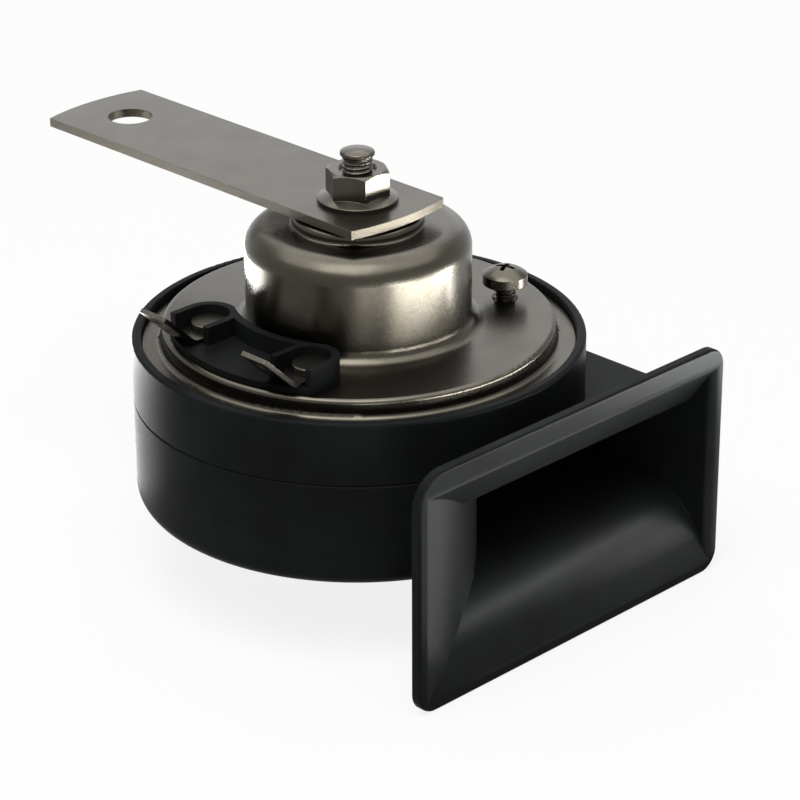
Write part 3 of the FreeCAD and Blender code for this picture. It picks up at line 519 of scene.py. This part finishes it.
class HORN_OT_screw(bpy.types.Operator):
    """Adjusting screw: pan head with a cross recess, and a thread below it."""
    bl_idname = "horn.screw"
    bl_label = "Adjusting screw"

    def execute(self, context):
        sizes = context.scene.horn_threads
        colours = context.scene.horn_finishes
        low, high = corners("adjusting_screw")
        root = sizes.screw_root
        side_top = high[2] - sizes.head_dome
        under = side_top - sizes.head_side
        fillet = 0.15 * MM
        edge = 0.12 * MM
        head = turned("screw_head", SCREW_AXIS, [
            (0, low[2]),
            (root * 0.7, low[2]),
            (root, low[2] + 0.6 * MM),
            (root, under - fillet),
            (root + fillet, under),
            (sizes.head_radius - edge, under),
            (sizes.head_radius, under + edge),
            *self.crown(sizes.head_radius, sizes.head_dome, side_top),
        ])
        combine(head, self.recess(high[2]), "DIFFERENCE")
        thread = threaded("screw_thread", SCREW_AXIS, root - 0.02 * MM, sizes.screw_crest,
                          sizes.screw_pitch, low[2] + 0.7 * MM, under - 0.1 * MM)
        screw = join(head, thread, "cross_recess_screw")
        # Zinc-plated turned steel: as on the nut, with lathe lines round the screw's own axis
        finish = plated_metal("Zinc-plated turned steel, screw", colours.zinc, colours.zinc_dull,
                              0.27, SCREW_AXIS, "round")
        finish_piece(screw, "adjuster", finish)
        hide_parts("adjusting_screw")
        return {"FINISHED"}

    def crown(self, radius, rise, side_top, steps=12):
        """Outline of the head's dome, a ball's cap, from the side to the middle."""
        ball = (radius ** 2 + rise ** 2) / (2 * rise)
        half_angle = math.asin(radius / ball)
        angles = [half_angle * (1 - step / steps) for step in range(steps + 1)]
        return [(ball * math.sin(angle), side_top + rise - ball * (1 - math.cos(angle)))
                for angle in angles]

    def recess(self, top):
        """The cutter: a cross that narrows as it goes down."""
        arms = []
        for turn in RECESS_TURNS:
            bpy.ops.object.select_all(action="DESELECT")
            bpy.ops.mesh.primitive_cube_add(
                size=1, location=(SCREW_AXIS[0], SCREW_AXIS[1], top - 0.55 * MM))
            arm = bpy.context.object
            arm.scale = Vector(RECESS_ARM) * MM
            arm.rotation_euler = (0, 0, math.radians(turn))
            bpy.ops.object.transform_apply(location=True, rotation=True, scale=True)
            bpy.ops.object.mode_set(mode="EDIT")
            bpy.ops.mesh.select_all(action="DESELECT")
            bpy.ops.object.mode_set(mode="OBJECT")
            for vertex in arm.data.vertices:
                vertex.select = vertex.co[2] < top - MM
            bpy.ops.object.mode_set(mode="EDIT")
            bpy.ops.transform.resize(value=(RECESS_TAPER, RECESS_TAPER, 1),
                                     center_override=(SCREW_AXIS[0], SCREW_AXIS[1], top))
            bpy.ops.object.mode_set(mode="OBJECT")
            arms.append(arm)
        combine(arms[0], arms[1], "UNION")
        return arms[0]


class HORN_OT_plastics(bpy.types.Operator):
    """Finishes of the moulded pieces, and the trumpet's trimmed corner."""
    bl_idname = "horn.plastics"
    bl_label = "Plastics"

    def execute(self, context):
        colours = context.scene.horn_finishes
        # Glass-filled nylon 66, injection moulded: near black, semi-gloss, with a very fine grain
        nylon = moulded_plastic("Glass-filled nylon, moulded", colours.nylon, colours.nylon_worn,
                                roughness=0.34, grain_mm=0.35, grain_depth_mm=0.02, bevel_mm=0.35)
        self.trumpet(nylon)
        dress("trumpet_cover", nylon)
        # Phenolic, compression moulded: black and dull, slightly uneven
        phenolic = moulded_plastic("Phenolic, compression moulded", colours.phenolic,
                                   colours.nylon_worn, roughness=0.42, grain_mm=0.3,
                                   grain_depth_mm=0.02, bevel_mm=0.2)
        dress("terminal_block", phenolic)
        dress("breaker_insulators", phenolic)
        # Pressed fibre sheet: matt, with short fibres
        fibre = moulded_plastic("Pressed fibre sheet", colours.fibre, colours.nylon_worn,
                                roughness=0.8, grain_mm=0.5, grain_depth_mm=0.06, bevel_mm=0.05)
        dress("gasket_upper", fibre)
        dress("gasket_lower", fibre)
        # Natural nylon: pale, slightly waxy
        natural = moulded_plastic("Natural nylon, moulded", colours.bobbin, colours.bobbin,
                                  roughness=0.4, grain_mm=0.4, grain_depth_mm=0.02, bevel_mm=0.2)
        dress("coil_bobbin", natural)
        return {"FINISHED"}

    def trumpet(self, material):
        """The lower moulding. Its flare's corner is pulled in to the lip's rounded corner."""
        low, _ = corners("trumpet_body")
        body = copy_of(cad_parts["trumpet_body"], "trumpet_lower_half")
        middle = Vector((AXIS[0] - MOUTH_LEFT + LIP_CORNER, 0, low[2] + LIP_CORNER))
        for vertex in body.data.vertices:
            out = Vector((vertex.co[0] - middle[0], 0, vertex.co[2] - middle[2]))
            if out[0] < 0 and out[2] < 0 and out.length > LIP_CORNER:
                vertex.co += out.normalized() * (LIP_CORNER - out.length)
        dress(body, material)
        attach(body, "horn")
        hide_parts("trumpet_body")


class HORN_OT_metals(bpy.types.Operator):
    """Finishes of the pressed, rolled and turned metal pieces."""
    bl_idname = "horn.metals"
    bl_label = "Metals"

    def execute(self, context):
        colours = context.scene.horn_finishes
        zinc = (colours.zinc, colours.zinc_dull)
        # Zinc-plated deep-drawn sheet: satin, with fine lines round the axis from drawing
        drawn = plated_metal("Zinc-plated drawn steel", *zinc, 0.27, AXIS, "round", bevel_mm=0.1)
        # Zinc-plated turned steel: fine lathe lines
        lathed = plated_metal("Zinc-plated turned steel", *zinc, 0.24, AXIS, "round")
        # Zinc-plated rolled strip: grain along its length
        rolled = plated_metal("Zinc-plated rolled steel", *zinc, 0.3, AXIS, "long",
                              sheared=colours.sheared)
        # Tin-plated brass strip: brighter than the zinc, and smooth
        tin = plated_metal("Tin-plated brass strip", colours.tin, colours.zinc, 0.22, AXIS, "long")
        # Headed rivets: satin zinc
        headed = plated_metal("Zinc-plated headed steel", *zinc, 0.3, AXIS, "long")
        # Enamelled copper wire, wound in layers, with painted shade in the grooves between turns
        copper = wound_copper(colours.copper, colours.copper_groove_painted_shade)
        for material, nodes in (
            (drawn, ("driver_cup", "spacer_washer")),
            (lathed, ("flange_nut", "armature", "armature_washer")),
            (rolled, ("mounting_bracket", "contact_plate")),
            (tin, ("terminal_front", "terminal_rear")),
            (headed, ("terminal_rivets",)),
            (copper, ("coil_winding",)),
        ):
            for node in nodes:
                dress(node, material)
        return {"FINISHED"}


class HORN_OT_springs(bpy.types.Operator):
    """Diaphragm, breaker arm and the arm's contact, drawn at rest; in the real horn the springs
    bend as the armature rises.
    """
    bl_idname = "horn.springs"
    bl_label = "Diaphragm and breaker arm"

    def execute(self, context):
        colours = context.scene.horn_finishes
        # Bright rolled spring strip
        spring = plated_metal("Rolled spring steel", colours.spring, colours.zinc, 0.2, AXIS,
                              "long")
        self.diaphragm(spring)
        self.arm(spring)
        # Ground tungsten faces
        tungsten = plated_metal("Ground tungsten", colours.tungsten, colours.spring, 0.18, AXIS,
                                "long")
        dress("fixed_contact", tungsten)
        self.contact(tungsten)
        return {"FINISHED"}

    def diaphragm(self, material):
        """Equal flat sectors, from the clamped rim to the armature's plug."""
        low, high = corners("diaphragm")
        rim = (high - low)[0] / 2
        ring = (rim - DIAPHRAGM_HOLE) / SECTOR_RINGS
        first = draw_profile("diaphragm_sector", AXIS, [
            (DIAPHRAGM_HOLE + ring * number, low[2]) for number in range(SECTOR_RINGS + 1)])
        bpy.ops.mesh.extrude_region_move(
            TRANSFORM_OT_translate={"value": (0, 0, high[2] - low[2])})
        bpy.ops.mesh.select_all(action="SELECT")
        spin_profile(AXIS, SECTOR_STEPS, 2 * math.pi / SECTORS)
        middle = sum((vertex.co for vertex in first.data.vertices), Vector())
        middle /= len(first.data.vertices)
        centre = Vector((AXIS[0], AXIS[1], low[2]))
        half = math.pi / SECTORS
        sectors = [first, *(copy_of(first, "diaphragm_sector") for _ in range(SECTORS - 1))]
        for number, sector in enumerate(sectors):
            sector.name = sector.data.name = f"diaphragm_sector_{number + 1}"
            turn = Matrix.Rotation(number * 2 * half, 4, "Z")
            sector.data.transform(Matrix.Translation(centre) @ turn @ Matrix.Translation(-centre))
            finish_piece(sector, None, material)
            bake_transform(sector)
            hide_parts("diaphragm")

    def arm(self, material):
        """The leaf spring, cut across at even steps along its length."""
        low, high = corners("contact_arm")
        arm = copy_of(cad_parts["contact_arm"], "breaker_arm")
        bpy.ops.object.mode_set(mode="EDIT")
        bpy.ops.mesh.select_all(action="SELECT")
        bpy.ops.mesh.remove_doubles(threshold=MERGE)
        across = (high[1] - low[1]) / ARM_CUTS
        for number in range(1, ARM_CUTS):
            bpy.ops.mesh.select_all(action="SELECT")
            bpy.ops.mesh.bisect(plane_co=(0, low[1] + across * number, 0), plane_no=(0, 1, 0),
                                threshold=CUT)
        bpy.ops.object.mode_set(mode="OBJECT")
        finish_piece(arm, None, material)
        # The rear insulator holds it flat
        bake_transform(arm)
        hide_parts("contact_arm")

    def contact(self, material):
        """The arm's contact, with its stem riveted flush to clear the disc when the arm is up."""
        low, high = corners("moving_contact")
        arm_low, arm_high = corners("contact_arm")
        head = (high - low)[0] / 2
        edge = 0.1 * MM
        contact = turned("breaker_contact", (low + high) / 2, [
            (0, low[2]),
            (head - edge, low[2]),
            (head, low[2] + edge),
            (head, arm_low[2]),
            (CONTACT_STEM, arm_low[2]),
            (CONTACT_STEM, arm_high[2] - edge),
            (0, arm_high[2] - edge),
        ], steps=48)
        finish_piece(contact, "armature", material)
        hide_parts("moving_contact")


class HORN_OT_stage(bpy.types.Operator):
    """Pale floor, soft lamps and the camera."""
    bl_idname = "horn.stage"
    bl_label = "Stage"

    def execute(self, context):
        self.floor(context)
        self.world(context)
        self.lamps(context)
        self.camera(context)
        context.scene.view_settings.view_transform = "Standard"
        return {"FINISHED"}

    def shown(self, tree):
        """1 where the camera, a reflection or a clear material sees the background, 0 elsewhere."""
        path = add_node(tree, "ShaderNodeLightPath")
        seen = add_node(tree, "ShaderNodeMath", {
            0: path.outputs["Is Camera Ray"], 1: path.outputs["Is Glossy Ray"]},
            operation="MAXIMUM")
        return add_node(tree, "ShaderNodeMath", {
            0: seen.outputs[0], 1: path.outputs["Is Transmission Ray"]},
            operation="MAXIMUM").outputs[0]

    def floor(self, context):
        """A wide pale floor just below the horn, white to the camera and in reflections."""
        bpy.ops.object.select_all(action="DESELECT")
        bpy.ops.mesh.primitive_plane_add(
            size=FLOOR_WIDTH, location=(AXIS[0], AXIS[1], CAD_BOX[0][2] - FLOOR_GAP))
        floor = context.object
        floor.name = floor.data.name = "floor"
        bpy.ops.object.transform_apply(location=True, rotation=True, scale=True)
        material, tree = new_material("Pale floor")
        share = add_node(tree, "ShaderNodeMath", {
            0: self.shown(tree), 1: FLOOR_WHITE}, operation="MULTIPLY")
        matt = add_node(tree, "ShaderNodeBsdfDiffuse", {"Color": context.scene.horn_studio.floor})
        white = add_node(tree, "ShaderNodeEmission", {"Color": (1, 1, 1, 1), "Strength": 1.0})
        shader = add_node(tree, "ShaderNodeMixShader", {
            0: share.outputs[0], 1: matt.outputs[0], 2: white.outputs[0]})
        close_material(tree, shader)
        dress(floor, material)

    def world(self, context):
        """Even light from all round, white where the camera or a reflection sees it."""
        world = bpy.data.worlds.new("Studio")
        world.use_nodes = True
        tree = world.node_tree
        tree.nodes.clear()
        strength = add_node(tree, "ShaderNodeMapRange", {
            "Value": self.shown(tree), "To Min": context.scene.horn_studio.world, "To Max": 1.0})
        back = add_node(tree, "ShaderNodeBackground", {
            "Color": (1, 1, 1, 1), "Strength": strength.outputs[0]})
        add_node(tree, "ShaderNodeOutputWorld", {"Surface": back.outputs[0]})
        context.scene.world = world

    def lamps(self, context):
        """Softboxes, and cards that only show in glossy surfaces."""
        ground = CAD_BOX[0][2]
        for name, x, y, height, aim, width, depth, radiance in LAMPS:
            place = Vector((AXIS[0] + x * MM, AXIS[1] + y * MM, ground + height * MM))
            bpy.ops.object.select_all(action="DESELECT")
            bpy.ops.object.light_add(type="AREA", location=place)
            lamp = context.object
            lamp.name = lamp.data.name = name
            lamp.visible_diffuse = "card" not in name
            if aim is None:
                lamp.rotation_euler = (math.pi, 0, 0)
            else:
                out = place - Vector((AXIS[0], AXIS[1], ground + aim * MM))
                lamp.rotation_euler = out.to_track_quat("Z", "Y").to_euler()
            lamp.data.shape = "RECTANGLE"
            lamp.data.size = width * MM
            lamp.data.size_y = depth * MM
            area = lamp.data.size * lamp.data.size_y
            lamp.data.energy = radiance * math.pi * area * context.scene.horn_studio.lamps

    def camera(self, context):
        """The photograph's viewpoint, with a long lens."""
        azimuth, elevation = math.radians(AZIMUTH), math.radians(ELEVATION)
        base = Vector((AXIS[0], AXIS[1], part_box("trumpet_cover")[1][2] - HOUSING_HEIGHT))
        back = Vector((math.sin(azimuth) * math.cos(elevation),
                       -math.cos(azimuth) * math.cos(elevation), math.sin(elevation)))
        right = Vector((math.cos(azimuth), math.sin(azimuth), 0))
        up = back.cross(right)
        rolled_right = right * math.cos(ROLL) + up * math.sin(ROLL)
        rolled_up = up * math.cos(ROLL) - right * math.sin(ROLL)
        matrix = Matrix((rolled_right, rolled_up, back)).transposed().to_4x4()
        matrix.translation = base + Vector(CAMERA_PLACE) * MM
        bpy.ops.object.camera_add()
        camera = context.object
        camera.name = camera.data.name = "camera"
        camera.matrix_world = matrix
        camera.data.sensor_width = SENSOR
        camera.data.lens = LENS
        camera.data.clip_start = 0.01
        camera.data.clip_end = 50
        context.scene.camera = camera


class HORN_PT_panel(bpy.types.Panel):
    """Lists the horn's pieces and stage."""
    bl_idname = "HORN_PT_panel"
    bl_label = "Car horn"
    bl_space_type = "VIEW_3D"
    bl_region_type = "UI"
    bl_category = "Car horn"

    def draw(self, context):
        for step in STEPS:
            self.layout.operator(step.bl_idname)
        for group in GROUPS:
            column = self.layout.column(align=True)
            settings = getattr(context.scene, group)
            for key in settings.__annotations__:
                column.prop(settings, key)


STEPS = (HORN_OT_stage, HORN_OT_plastics, HORN_OT_metals, HORN_OT_springs, HORN_OT_stud,
         HORN_OT_screw)
GROUPS = {"horn_finishes": HornFinishes, "horn_threads": HornThreads, "horn_studio": HornStudio}
CLASSES = (*GROUPS.values(), *STEPS, HORN_PT_panel)


def register():
    for cls in CLASSES:
        bpy.utils.register_class(cls)
    for name, group in GROUPS.items():
        setattr(bpy.types.Scene, name, bpy.props.PointerProperty(type=group))


def unregister():
    for name in GROUPS:
        delattr(bpy.types.Scene, name)
    for cls in reversed(CLASSES):
        bpy.utils.unregister_class(cls)


def main():
    register()
    bpy.ops.horn.stage()
    bpy.ops.horn.plastics()
    bpy.ops.horn.metals()
    bpy.ops.horn.springs()
    bpy.ops.horn.stud()
    bpy.ops.horn.screw()


if __name__ == "__main__":
    main()
